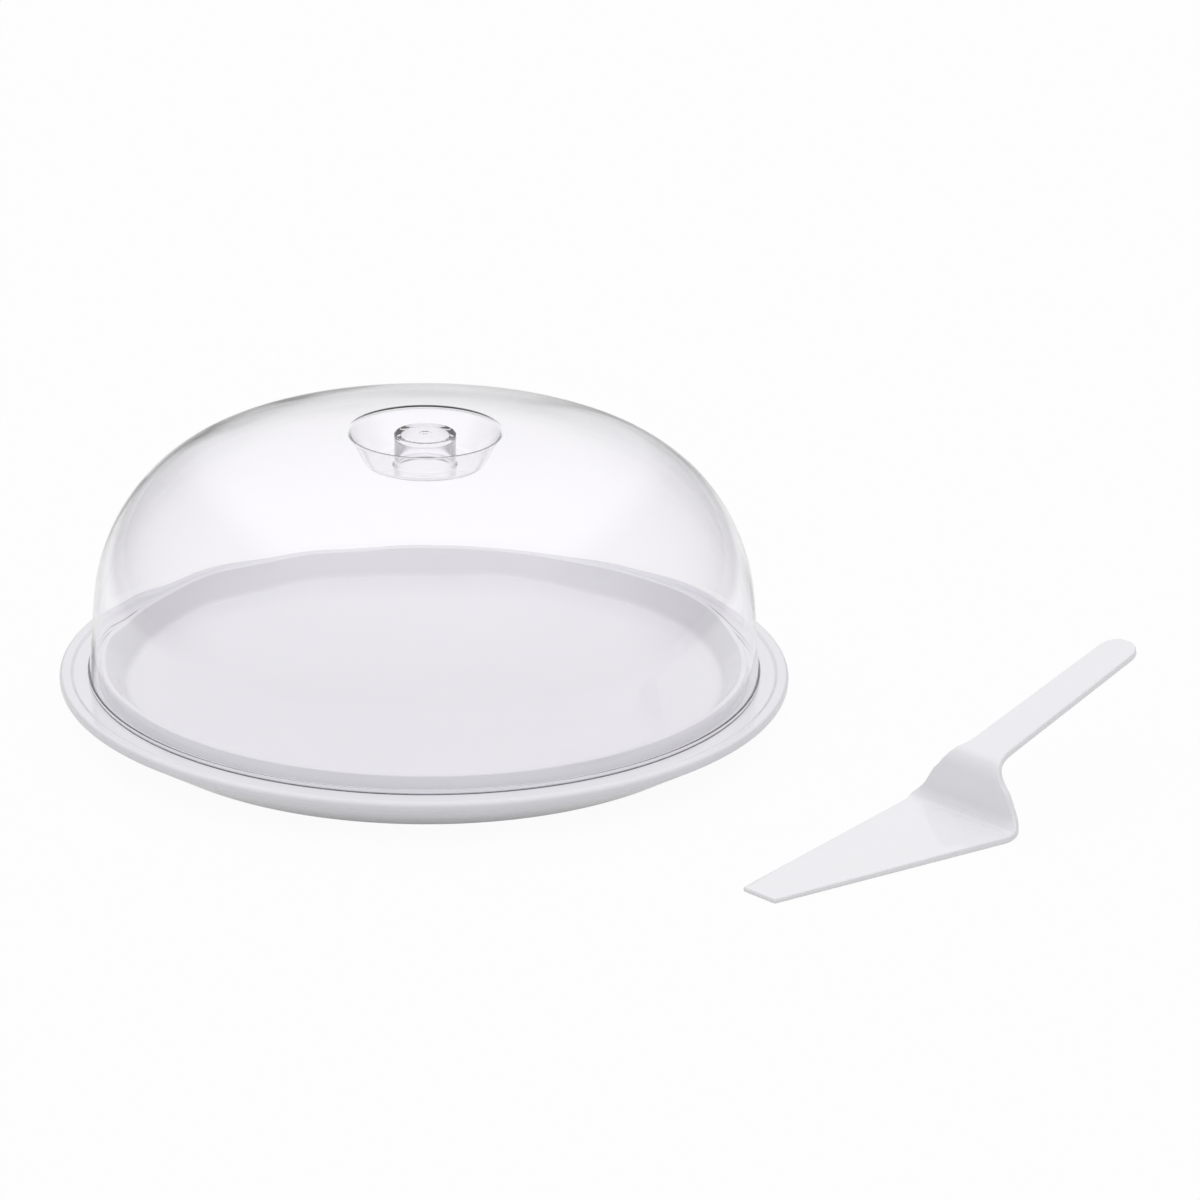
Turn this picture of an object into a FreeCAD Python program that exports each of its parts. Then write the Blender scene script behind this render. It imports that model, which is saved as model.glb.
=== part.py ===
import FreeCAD, Part
import os
import re

import Sketcher

# A cake cover set: a clear dome standing on the ledge of a round white plate, and a cake server beside it.
# Millimetres and degrees. +Z is up, and the origin is on the plate's axis at table level.

SIZES = {
    # Plate
    "plate_radius": 170.0,
    "ledge_height": 20.0,
    "plate_wall": 2.8,
    "rim_thickness": 4.4,
    "rim_border_width": 5.0,
    "rim_border_rise": 1.0,
    "rim_edge_rounding": 1.8,
    "rim_lower_rounding": 3.0,
    "border_step_rounding": 0.4,
    "skirt_run": 28.0,
    "foot_width": 4.0,
    "foot_edge_rounding": 0.8,
    "curb_clearance": 2.4,
    "curb_crest_width": 2.4,
    "curb_rise": 7.0,
    "curb_flare": 1.2,
    "curb_edge_rounding": 0.9,
    "dish_wall_run": 8.6,
    "dish_depth": 4.2,
    "dish_corner_rounding": 5.0,
    # Dome
    "ledge_margin": 8.2,
    "dome_wall": 2.5,
    "dome_height": 118.1,
    "flange_height": 4.0,
    "flange_step": 0.8,
    "flange_edge_rounding": 0.3,
    "wall_draft": 4.2,
    "wall_length": 32.0,
    "bow_radius": 85.4,
    "shoulder_start_angle": 40.0,
    "shoulder_end_angle": 72.3,
    "crown_radius": 253.0,
    "well_mouth_radius": 33.5,
    "well_floor_radius": 26.0,
    "well_depth": 15.6,
    "well_mouth_rounding": 2.5,
    "well_corner_rounding": 1.5,
    "knob_radius": 14.3,
    "knob_height": 14.5,
    "knob_edge_rounding": 1.0,
    "knob_foot_rounding": 1.0,
    # Server
    "server_tip_x": 147.9,
    "server_tip_y": -226.6,
    "server_heading": 43.0,
    "server_thickness": 3.4,
    "tip_thickness": 2.4,
    "tip_width": 19.7,
    "blade_length": 133.5,
    "blade_back_width": 65.4,
    "riser_height": 25.7,
    "riser_angle": 86.8,
    "riser_waist_width": 45.8,
    "riser_waist_height": 15.0,
    "fold_rounding": 7.8,
    "crook_rounding": 6.8,
    "neck_rounding": 8.0,
    "handle_length": 108.0,
    "handle_angle": 16.7,
    "handle_width": 22.4,
    "handle_end_width": 19.4,
    "cut_overrun": 5.0,
}
HANDLE_END_ROUNDING_SHARE = 0.48

doc = FreeCAD.newDocument("cake_cover")
sheet = doc.addObject("Spreadsheet::Sheet", "Sizes")
for row, (alias, value) in enumerate(SIZES.items(), start=1):
    sheet.set(f"A{row}", alias)
    sheet.set(f"B{row}", str(value))
    sheet.setAlias(f"B{row}", alias)
doc.recompute()


def bound(formula):
    """The formula with every driving dimension written as a cell of the sheet."""
    return re.sub(r"[a-z_]+[a-z]", lambda word: f"Sizes.{word[0]}" if word[0] in SIZES else word[0], formula)


def measure(formula):
    """The number that a formula of driving dimensions comes to."""
    return float(sheet.evalExpression(bound(formula)))


def new_body(label):
    body = doc.addObject("PartDesign::Body", label)
    body.Label = label
    return body


def origin_plane(body, role):
    return next(plane for plane in body.Origin.OriginFeatures if plane.Role == role)


def arc_between(start, end, radius, turns_left):
    """The shorter arc from start to end, with the sketch positions of its two ends in the order of travel."""
    chord = end - start
    half_chord = chord.Length / 2
    side = FreeCAD.Vector(-chord.y, chord.x, 0).normalize()
    if not turns_left:
        side = -side
    reach = max(radius**2 - half_chord**2, 0) ** 0.5
    centre = start + chord / 2 + side * reach
    first, last = (start, end) if turns_left else (end, start)
    circle = Part.Circle(centre, FreeCAD.Vector(0, 0, 1), radius)
    arc = Part.ArcOfCircle(circle, circle.parameter(first), circle.parameter(last))
    return arc, (1, 2) if turns_left else (2, 1)


def pin_corner(sketch, geometry, position, formulas):
    """Fixes a corner at its two formulas; a formula of 0 puts it on the axis itself."""
    for formula, kind, axis in zip(formulas, ("DistanceX", "DistanceY"), (-2, -1)):
        if formula == "0":
            sketch.addConstraint(Sketcher.Constraint("PointOnObject", geometry, position, axis))
            continue
        size = Sketcher.Constraint(kind, -1, 1, geometry, position, measure(formula))
        index = sketch.addConstraint(size)
        sketch.setExpression(f"Constraints[{index}]", bound(formula))


def draw_outline(sketch, corners):
    """Adds a closed outline. A corner is (x formula, y formula), and one with a radius formula and a turn,
    left or right, starts an arc instead of a straight run."""
    points = [FreeCAD.Vector(measure(corner[0]), measure(corner[1]), 0) for corner in corners]
    runs = []
    for start, end, corner in zip(points, points[1:] + points[:1], corners):
        if len(corner) == 2:
            runs.append((sketch.addGeometry(Part.LineSegment(start, end)), (1, 2)))
        else:
            arc, positions = arc_between(start, end, measure(corner[2]), corner[3] == "left")
            runs.append((sketch.addGeometry(arc), positions))
    for (run, positions), (following, following_positions) in zip(runs, runs[1:] + runs[:1]):
        join = ("Coincident", run, positions[1], following, following_positions[0])
        sketch.addConstraint(Sketcher.Constraint(*join))
    for (run, positions), corner in zip(runs, corners):
        pin_corner(sketch, run, positions[0], corner[:2])
        if len(corner) > 2:
            index = sketch.addConstraint(Sketcher.Constraint("Radius", run, measure(corner[2])))
            sketch.setExpression(f"Constraints[{index}]", bound(corner[2]))


def new_sketch(body, name, role, *outlines):
    sketch = body.newObject("Sketcher::SketchObject", name)
    sketch.AttachmentSupport = [(origin_plane(body, role), "")]
    sketch.MapMode = "FlatFace"
    for corners in outlines:
        draw_outline(sketch, corners)
    doc.recompute()
    return sketch


def revolve(body, name, corners):
    sketch = new_sketch(body, f"{name}_section", "XZ_Plane", corners)
    turned = body.newObject("PartDesign::Revolution", f"{name}_turned")
    turned.Profile = sketch
    turned.ReferenceAxis = (sketch, ["V_Axis"])
    turned.Angle = 360
    doc.recompute()
    return turned


def ring_edges(shape, radius, height):
    """Names of the round edges about Z that have a radius and a height."""
    near = Part.Precision.confusion() ** 0.5
    names = []
    for number, edge in enumerate(shape.Edges, start=1):
        if not isinstance(edge.Curve, Part.Circle):
            continue
        if abs(edge.Curve.Radius - radius) < near and abs(edge.Curve.Center.z - height) < near:
            names.append(f"Edge{number}")
    return names


def side_edges(shape, *places):
    """Names of the edges whose ends, seen along Y, lie at these places, each an x and a z formula."""
    near = Part.Precision.confusion() ** 0.5
    targets = [FreeCAD.Vector(measure(x), 0, measure(z)) for x, z in places]
    names = []
    for number, edge in enumerate(shape.Edges, start=1):
        ends = [FreeCAD.Vector(vertex.X, 0, vertex.Z) for vertex in edge.Vertexes]
        on_place = all(any(end.isEqual(target, near) for target in targets) for end in ends)
        all_met = all(any(end.isEqual(target, near) for end in ends) for target in targets)
        if on_place and all_met:
            names.append(f"Edge{number}")
    return names


def round_edges(body, name, edges, radius_formula):
    base = body.Tip
    fillet = body.newObject("PartDesign::Fillet", name)
    fillet.Base = (base, edges)
    fillet.setExpression("Radius", bound(radius_formula))
    doc.recompute()


def round_rings(body, roundings):
    """Rounds circular edges one after another: (name, radius formula, height formula, rounding formula)."""
    for name, radius, height, rounding in roundings:
        edges = ring_edges(body.Shape, measure(radius), measure(height))
        round_edges(body, name, edges, rounding)


# Radii of the fit between dome and plate, from the rim inwards: the dome's foot stands on the ledge inside
# the rim's border, and the curb stands inside the dome's foot.
BORDER_RADIUS = "(plate_radius - rim_border_width)"
DOME_FOOT_RADIUS = f"({BORDER_RADIUS} - ledge_margin)"
DOME_WALL_START = f"({DOME_FOOT_RADIUS} - flange_step)"
DOME_FOOT_INSIDE = f"({DOME_WALL_START} + flange_height * tan(wall_draft) - dome_wall / cos(wall_draft))"
CURB_FOOT_RADIUS = f"({DOME_FOOT_INSIDE} - curb_clearance)"


def make_plate():
    """A dish with a flat floor, a curb that the dome drops around, a ledge that it stands on, and a skirt of
    one wall that slopes in from the rim to the foot."""
    rim_top = "(ledge_height + rim_border_rise)"
    rim_bottom = f"({rim_top} - rim_thickness)"
    dish_floor = "(ledge_height - dish_depth)"
    underside = f"({dish_floor} - plate_wall)"
    ledge_underside = "(ledge_height - plate_wall)"
    crest = "(ledge_height + curb_rise)"
    crest_outside = f"({CURB_FOOT_RADIUS} - curb_flare)"
    crest_inside = f"({crest_outside} - curb_crest_width)"
    floor_radius = f"({crest_inside} - dish_wall_run)"
    foot_radius = "(plate_radius - skirt_run)"
    # The skirt leans, so across it the wall measures more than square to it.
    skirt_lean = f"(skirt_run / {rim_bottom})"
    skirt_across = f"(plate_wall * sqrt(1 + {skirt_lean}^2))"
    skirt_top_inside = f"({foot_radius} - {skirt_across} + {skirt_lean} * {ledge_underside})"
    foot_inside = f"({foot_radius} - foot_width)"
    foot_inside_top = f"(({skirt_across} - foot_width) / {skirt_lean})"
    wall_slope = f"atan(({crest} - {dish_floor}) / dish_wall_run)"
    corner_reach = f"(dish_corner_rounding * tan({wall_slope} / 2))"
    corner_r = f"({floor_radius} + {corner_reach} * cos({wall_slope}))"
    corner_z = f"({dish_floor} + {corner_reach} * sin({wall_slope}))"
    body = new_body("cake_plate")
    revolve(body, "plate", [
        ("0", underside),
        (floor_radius, underside),
        (CURB_FOOT_RADIUS, ledge_underside),
        (skirt_top_inside, ledge_underside),
        (foot_inside, foot_inside_top),
        (foot_inside, "0"),
        (foot_radius, "0"),
        ("plate_radius", rim_bottom),
        ("plate_radius", rim_top),
        (BORDER_RADIUS, rim_top),
        (BORDER_RADIUS, "ledge_height"),
        (CURB_FOOT_RADIUS, "ledge_height"),
        (crest_outside, crest),
        (crest_inside, crest),
        (corner_r, corner_z, "dish_corner_rounding", "right"),
        (f"({floor_radius} - {corner_reach})", dish_floor),
        ("0", dish_floor),
    ])
    round_rings(body, [
        ("rim_lower_edge", "plate_radius", rim_bottom, "rim_lower_rounding"),
        ("rim_upper_edge", "plate_radius", rim_top, "rim_edge_rounding"),
        ("border_step_edge", BORDER_RADIUS, rim_top, "border_step_rounding"),
        ("crest_outer_edge", crest_outside, crest, "curb_edge_rounding"),
        ("crest_inner_edge", crest_inside, crest, "curb_edge_rounding"),
        ("foot_outer_edge", foot_radius, "0", "foot_edge_rounding"),
    ])
    return body


def make_dome():
    """A shell of one wall: a foot flange, a straight drafted wall, three arcs that follow on smoothly, and
    in the middle of the crown a well with a hollow knob."""
    draft_cos, draft_sin = "cos(wall_draft)", "sin(wall_draft)"
    bow_cos, bow_sin = "cos(shoulder_start_angle)", "sin(shoulder_start_angle)"
    crown_cos, crown_sin = "cos(shoulder_end_angle)", "sin(shoulder_end_angle)"
    wall_top_r = f"({DOME_WALL_START} - wall_length * {draft_sin})"
    wall_top_z = f"(flange_height + wall_length * {draft_cos})"
    bow_centre_r = f"({wall_top_r} - bow_radius * {draft_cos})"
    bow_centre_z = f"({wall_top_z} - bow_radius * {draft_sin})"
    bow_end_z = f"({bow_centre_z} + bow_radius * {bow_sin})"
    # The shoulder climbs what the wall, the bow and the crown leave of the dome's height.
    shoulder_climb = f"(dome_height - {bow_end_z} - crown_radius * (1 - {crown_sin}))"
    shoulder_radius = f"({shoulder_climb} / ({crown_sin} - {bow_sin}))"
    shoulder_centre_r = f"({bow_centre_r} + (bow_radius - {shoulder_radius}) * {bow_cos})"
    crown_centre_r = f"({shoulder_centre_r} + ({shoulder_radius} - crown_radius) * {crown_cos})"
    crown_centre_z = "(dome_height - crown_radius)"

    def on_bow(radius, across, up):
        return f"({bow_centre_r} + {radius} * {across})", f"({bow_centre_z} + {radius} * {up})"

    def crown_edge(radius):
        return f"({crown_centre_r} + {radius} * {crown_cos})", f"({crown_centre_z} + {radius} * {crown_sin})"

    def crown_height(radius, distance):
        return f"({crown_centre_z} + sqrt({radius}^2 - ({distance} - {crown_centre_r})^2))"

    inner_bow = "(bow_radius - dome_wall)"
    inner_shoulder = f"({shoulder_radius} - dome_wall)"
    inner_crown = "(crown_radius - dome_wall)"
    well_floor = "(dome_height - well_depth)"
    well_underside = f"({well_floor} - dome_wall)"
    mouth_height = crown_height("crown_radius", "well_mouth_radius")
    # The well's wall leans, so across it the wall measures more than square to it.
    lean_run = "(well_mouth_radius - well_floor_radius)"
    lean_rise = f"({mouth_height} - {well_floor})"
    wall_across = f"(dome_wall * sqrt({lean_run}^2 + {lean_rise}^2) / {lean_rise})"
    mouth_outside = f"(well_mouth_radius + {wall_across})"
    mouth_outside_height = crown_height(inner_crown, mouth_outside)
    lean = f"({lean_run} / {lean_rise})"
    floor_outside = f"({mouth_outside} - {lean} * ({mouth_outside_height} - {well_underside}))"
    knob_top = f"({well_floor} + knob_height)"
    knob_inside = "(knob_radius - dome_wall)"
    knob_ceiling = f"({knob_top} - dome_wall)"
    body = new_body("dome_cover")
    revolve(body, "dome", [
        (DOME_FOOT_INSIDE, "0"),
        (DOME_FOOT_RADIUS, "0"),
        (DOME_FOOT_RADIUS, "flange_height"),
        (DOME_WALL_START, "flange_height"),
        (wall_top_r, wall_top_z, "bow_radius", "left"),
        (*on_bow("bow_radius", bow_cos, bow_sin), shoulder_radius, "left"),
        (*crown_edge("crown_radius"), "crown_radius", "left"),
        ("well_mouth_radius", mouth_height),
        ("well_floor_radius", well_floor),
        ("knob_radius", well_floor),
        ("knob_radius", knob_top),
        ("0", knob_top),
        ("0", knob_ceiling),
        (knob_inside, knob_ceiling),
        (knob_inside, well_underside),
        (floor_outside, well_underside),
        (mouth_outside, mouth_outside_height, inner_crown, "right"),
        (*crown_edge(inner_crown), inner_shoulder, "right"),
        (*on_bow(inner_bow, bow_cos, bow_sin), inner_bow, "right"),
        on_bow(inner_bow, draft_cos, draft_sin),
    ])
    round_rings(body, [
        ("well_mouth_edge", "well_mouth_radius", mouth_height, "well_mouth_rounding + dome_wall"),
        ("well_mouth_underside", mouth_outside, mouth_outside_height, "well_mouth_rounding"),
        ("well_floor_corner", "well_floor_radius", well_floor, "well_corner_rounding"),
        ("well_floor_underside", floor_outside, well_underside, "well_corner_rounding + dome_wall"),
        ("knob_top_edge", "knob_radius", knob_top, "knob_edge_rounding"),
        ("knob_foot_corner", "knob_radius", well_floor, "knob_foot_rounding"),
        ("knob_hollow_edge", knob_inside, well_underside, "knob_foot_rounding"),
        ("flange_top_edge", DOME_FOOT_RADIUS, "flange_height", "flange_edge_rounding"),
        ("flange_foot_edge", DOME_FOOT_RADIUS, "0", "flange_edge_rounding"),
    ])
    body.setExpression("Placement.Base.z", bound("ledge_height"))
    return body


def make_server():
    """A strip of one thickness: a blade that widens from its tip, an upright riser and a rising handle.
    In the body's own frame the tip is at the origin and +X runs along the server."""
    back_half = "(blade_back_width / 2)"
    waist_half = "(riser_waist_width / 2)"
    handle_half = "(handle_width / 2)"
    end_half = "(handle_end_width / 2)"
    riser_run = "(riser_height / tan(riser_angle))"
    crook_x = f"(blade_length + {riser_run})"
    crook_z = "(server_thickness + riser_height)"
    end_x = f"({crook_x} + handle_length * cos(handle_angle))"
    end_z = f"({crook_z} + handle_length * sin(handle_angle))"
    fold_under_x = "(blade_length + server_thickness * tan(riser_angle / 2))"
    crook_reach = "(server_thickness / cos((riser_angle - handle_angle) / 2))"
    crook_lean = "((riser_angle + handle_angle) / 2)"
    crook_under_x = f"({crook_x} + {crook_reach} * sin({crook_lean}))"
    crook_under_z = f"({crook_z} - {crook_reach} * cos({crook_lean}))"
    end_under_x = f"({end_x} + server_thickness * sin(handle_angle))"
    end_under_z = f"({end_z} - server_thickness * cos(handle_angle))"
    body = new_body("cake_server")
    side = new_sketch(body, "server_side", "XZ_Plane", [
        ("0", "0"),
        (fold_under_x, "0"),
        (crook_under_x, crook_under_z),
        (end_under_x, end_under_z),
        (end_x, end_z),
        (crook_x, crook_z),
        ("blade_length", "server_thickness"),
        ("0", "tip_thickness"),
    ])
    strip = body.newObject("PartDesign::Pad", "server_strip")
    strip.Profile = side
    strip.Midplane = True
    strip.setExpression("Length", bound("blade_back_width"))
    doc.recompute()
    for name, along, height, rounding in (
        ("fold_top", "blade_length", "server_thickness", "fold_rounding"),
        ("fold_under", fold_under_x, "0", "fold_rounding + server_thickness"),
        ("crook_top", crook_x, crook_z, "crook_rounding + server_thickness"),
        ("crook_under", crook_under_x, crook_under_z, "crook_rounding"),
    ):
        round_edges(body, name, side_edges(body.Shape, (along, height)), rounding)

    # Seen from the front, the riser draws in from the blade's back to its waist, then more to the handle, and
    # runs into it in an arc.
    waist_z = "(server_thickness + riser_waist_height)"
    draw_in = f"atan(({waist_half} - {handle_half}) / (riser_height - riser_waist_height))"
    neck_reach = f"(neck_rounding * tan({draw_in} / 2))"
    neck_y = f"({handle_half} + {neck_reach} * sin({draw_in}))"
    neck_z = f"({crook_z} - {neck_reach} * cos({draw_in}))"
    handle_start = f"({crook_x} + {neck_reach} / tan(handle_angle))"
    beyond_y = f"({back_half} + cut_overrun)"
    beyond_x = f"({end_under_x} + cut_overrun)"
    beyond_z = f"({end_z} + cut_overrun)"
    plan = new_sketch(
        body, "server_plan", "XY_Plane",
        [("0", "(tip_width / 2)"), ("blade_length", back_half), ("blade_length", beyond_y), ("0", beyond_y)],
        [(handle_start, handle_half), (end_under_x, end_half), (beyond_x, end_half), (beyond_x, beyond_y),
         (handle_start, beyond_y)],
    )
    front = new_sketch(body, "server_front", "YZ_Plane", [
        (back_half, "server_thickness"),
        (beyond_y, "server_thickness"),
        (beyond_y, beyond_z),
        (handle_half, beyond_z),
        (handle_half, f"({crook_z} + {neck_reach})", "neck_rounding", "left"),
        (neck_y, neck_z),
        (waist_half, waist_z),
    ])
    cuts = []
    for name, sketch in (("plan_cut", plan), ("front_cut", front)):
        before = body.Shape.Volume
        cut = body.newObject("PartDesign::Pocket", name)
        cut.Profile = sketch
        cut.Type = "ThroughAll"
        cut.Midplane = True
        doc.recompute()
        if not body.Shape.Volume < before:
            raise RuntimeError(f"{name} removes nothing")
        cuts.append(cut)
    other_side = body.newObject("PartDesign::Mirrored", "other_side")
    other_side.Originals = cuts
    other_side.MirrorPlane = (origin_plane(body, "XZ_Plane"), [""])
    body.Tip = other_side
    doc.recompute()

    end_edges = side_edges(body.Shape, (end_x, end_z), (end_under_x, end_under_z))
    round_edges(body, "handle_end", end_edges, f"handle_end_width * {HANDLE_END_ROUNDING_SHARE}")
    body.setExpression("Placement.Base.x", bound("server_tip_x"))
    body.setExpression("Placement.Base.y", bound("server_tip_y"))
    body.setExpression("Placement.Rotation.Angle", bound("server_heading"))
    return body


sub_parts = [make_plate(), make_dome(), make_server()]
doc.recompute()

for item in doc.Objects:
    if {"Invalid", "Error"} & set(item.State):
        raise RuntimeError(f"{item.Label} did not recompute: {item.State}")
for sub_part in sub_parts:
    if sub_part.Shape.isNull() or not sub_part.Shape.isValid():
        raise RuntimeError(f"{sub_part.Label} has no valid shape")
    if len(sub_part.Shape.Solids) != 1:
        raise RuntimeError(f"{sub_part.Label} is not one solid")

os.makedirs("parts", exist_ok=True)
for sub_part in sub_parts:
    sub_part.Shape.exportStep(f"parts/{sub_part.Label}.step")
    box = sub_part.Shape.optimalBoundingBox()
    print(f"{sub_part.Label}: {sub_part.Shape.Volume / 1000:.1f} cm3, "
          f"x {box.XMin:.1f} to {box.XMax:.1f}, y {box.YMin:.1f} to {box.YMax:.1f}, "
          f"z {box.ZMin:.1f} to {box.ZMax:.1f}")
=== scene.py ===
# %% [markdown]
# # A cake cover in clear and white plastic
# This lesson dresses a cake cover set: a clear dome with a knob sunk into its crown, a round white plate
# that the dome stands on, and a white cake server lying beside them. The solids come from a CAD model that
# is already packed. Here every piece gets the fine, smooth surface that a polished mould gives, because
# clear plastic shows each facet of a coarse mesh as a kink in whatever is seen through it.

import bpy
import numpy as np
from mathutils import Matrix, Vector


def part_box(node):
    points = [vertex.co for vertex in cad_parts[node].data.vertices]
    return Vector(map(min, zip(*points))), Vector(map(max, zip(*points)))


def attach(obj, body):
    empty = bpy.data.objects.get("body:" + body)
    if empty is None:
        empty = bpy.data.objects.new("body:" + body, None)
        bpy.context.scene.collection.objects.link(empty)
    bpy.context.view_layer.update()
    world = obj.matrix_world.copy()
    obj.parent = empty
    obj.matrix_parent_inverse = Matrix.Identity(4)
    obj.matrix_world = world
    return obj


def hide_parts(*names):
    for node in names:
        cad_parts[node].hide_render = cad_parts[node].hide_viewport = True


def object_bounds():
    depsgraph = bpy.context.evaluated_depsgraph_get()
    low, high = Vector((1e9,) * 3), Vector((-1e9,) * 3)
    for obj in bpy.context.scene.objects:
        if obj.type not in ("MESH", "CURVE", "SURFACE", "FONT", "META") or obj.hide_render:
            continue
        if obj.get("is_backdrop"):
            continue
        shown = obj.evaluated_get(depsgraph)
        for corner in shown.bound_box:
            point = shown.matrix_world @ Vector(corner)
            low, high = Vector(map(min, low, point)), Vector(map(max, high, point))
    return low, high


MM = 0.001

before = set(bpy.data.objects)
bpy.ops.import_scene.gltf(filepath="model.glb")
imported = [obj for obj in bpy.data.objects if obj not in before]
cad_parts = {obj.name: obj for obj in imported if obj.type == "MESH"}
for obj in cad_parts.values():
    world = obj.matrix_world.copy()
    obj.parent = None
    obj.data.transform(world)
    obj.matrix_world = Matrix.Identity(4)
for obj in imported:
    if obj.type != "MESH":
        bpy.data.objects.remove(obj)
cad_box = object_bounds()


def in_mm(point):
    """A point in metres as rounded millimetres, for printing."""
    return [round(value / MM, 2) for value in point]


for node in sorted(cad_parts):
    low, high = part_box(node)
    print(node, "from", in_mm(low), "to", in_mm(high), "mm")

# %% [markdown]
# ## A profile with rounded corners
# All three pieces are drawn from the same kind of line: straight runs from corner to corner, with every
# corner replaced by an arc that touches both runs. A bevel modifier could round a finished mesh, but a
# line that is rounded before it becomes a surface keeps the exact radius of the mould. It also gives the
# heading at each point, which the server needs later to step off its path by one thickness. Sizes are in
# millimetres until the mesh is made. The straight runs come first.

# %% Straight runs
LONGEST_STEP = 4.0
EDGE_STEP = 0.35
SHORTEST_SPLIT_RUN = 1.4


def straight_run(start, end):
    """Points evenly spaced from start to end, with one more close to each end, so that smooth shading of a
    rounding does not spread over the flat beside it."""
    length = np.linalg.norm(end - start)
    count = int(np.ceil(length / LONGEST_STEP)) + 1
    share = np.linspace(0.0, 1.0, max(count, 2))
    if length > SHORTEST_SPLIT_RUN:
        share = np.union1d(share, [EDGE_STEP / length, 1.0 - EDGE_STEP / length])
    return start + share[:, None] * (end - start)


# %% [markdown]
# ### Arcs at the corners
# Each corner is cut short by the same reach on both sides, and an arc joins the two cuts. A tight arc needs
# points that lie close together and a wide one needs many of them, so both the turn and the distance from
# point to point have a limit.

# %% The rounded line
LARGEST_TURN = np.radians(9.0)
SAME_POINT = 0.0001


def rounded_line(corners):
    """The line through corners of (across, up, rounding), as rows of (across, up, heading). A rounding of
    radius r at a turn of angle a starts r * tan(a / 2) before the corner and swings round a centre r to the
    side. A corner without a rounding stays sharp."""
    places = np.array([corner[:2] for corner in corners], float)
    roundings = [corner[2] if len(corner) > 2 else 0.0 for corner in corners]
    runs = np.diff(places, axis=0)
    headings = np.unwrap(np.arctan2(runs[:, 1], runs[:, 0]))
    ways = np.stack([np.cos(headings), np.sin(headings)], axis=1)
    stretches = []
    last = places[0]
    for index, (place, rounding) in enumerate(zip(places[1:-1], roundings[1:-1])):
        turn = headings[index + 1] - headings[index]
        reach = rounding * np.tan(abs(turn) / 2)
        start = place - reach * ways[index]
        run = straight_run(last, start)
        stretches.append(np.column_stack([run, np.full(len(run), headings[index])]))
        if rounding:
            steps = max(abs(turn) / LARGEST_TURN, rounding * abs(turn) / LONGEST_STEP)
            swing = headings[index] + np.linspace(0.0, turn, int(np.ceil(steps)) + 1)
            side = np.sign(turn) * rounding
            centre = start + side * np.array([-ways[index, 1], ways[index, 0]])
            arc = centre + side * np.stack([np.sin(swing), -np.cos(swing)], axis=1)
            stretches.append(np.column_stack([arc, swing]))
        last = place + reach * ways[index + 1]
    run = straight_run(last, places[-1])
    stretches.append(np.column_stack([run, np.full(len(run), headings[-1])]))
    line = np.concatenate(stretches)
    moved = np.linalg.norm(np.diff(line[:, :2], axis=0), axis=1) > SAME_POINT
    return line[np.concatenate([[True], moved])]


# %% [markdown]
# ### Arcs known by their centre
# The dome's large arcs are known by centre and angles, not by a corner. One function finds the corner that
# such an arc would have, so that every line can be written in the same way.

# %% The corner of an arc
def arc_corner(centre, radius, first, last):
    """The corner that an arc from angle first to angle last would have if its end tangents ran on until
    they met: it lies on the middle spoke, at radius / cos(half the angle)."""
    middle = (first + last) / 2
    reach = radius / np.cos((last - first) / 2)
    return centre[0] + reach * np.cos(middle), centre[1] + reach * np.sin(middle), radius


# %% [markdown]
# ## Turning a line into a round piece
# Plate and dome are bodies of revolution. Blender's Screw modifier would turn a line too, but a grid of
# points worked out at once closes the seam and the two poles exactly, with faces that all point outwards.

# %% The turned surface
ROUND_STEPS = 320


def make_mesh(name, points, faces):
    """A smooth-shaded object at the origin, with its place in its mesh: each point times MM, so millimetres
    become metres."""
    mesh = bpy.data.meshes.new(name)
    mesh.from_pydata((points * MM).tolist(), [], [face for group in faces for face in group.tolist()])
    mesh.shade_smooth()
    mesh.update()
    piece = bpy.data.objects.new(name, mesh)
    bpy.context.scene.collection.objects.link(piece)
    return piece


def turned_piece(name, line):
    """The surface (across * cos t, across * sin t, up) for every point of the line and every angle t. The
    line's first and last points lie on the axis and become the poles, each closed by a fan of triangles."""
    across, up = line[1:-1, 0], line[1:-1, 1]
    angle = np.linspace(0.0, 2 * np.pi, ROUND_STEPS, endpoint=False)
    grid = np.stack([np.outer(across, np.cos(angle)), np.outer(across, np.sin(angle)),
                     np.outer(up, np.ones(ROUND_STEPS))], axis=-1)
    poles = np.array([[0.0, 0.0, line[0, 1]], [0.0, 0.0, line[-1, 1]]])
    points = np.concatenate([grid.reshape(-1, 3), poles])
    here = np.arange(across.size * ROUND_STEPS).reshape(across.size, ROUND_STEPS)
    beside = np.roll(here, -1, axis=1)
    walls = np.stack([here[:-1], here[1:], beside[1:], beside[:-1]], axis=-1).reshape(-1, 4)
    first, last = np.full((2, ROUND_STEPS), [[here.size], [here.size + 1]])
    top = np.stack([first, here[0], beside[0]], axis=-1)
    bottom = np.stack([last, beside[-1], here[-1]], axis=-1)
    piece = make_mesh(name, points, [walls, top, bottom])
    print(name, "has", len(piece.data.polygons), "faces and is", round(2 * across.max(), 1), "mm across")
    return piece


# %% [markdown]
# ## The plate
# The plate is one white moulding. From the middle outwards its section is a flat dish floor, a wall that
# rises to a narrow curb, the ledge on which the dome stands, and a rim with a raised border. From the rim a
# skirt slopes in to the foot, and behind it the plate is hollow. Each name below is a size that could be
# measured on the plate with a caliper.

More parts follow.
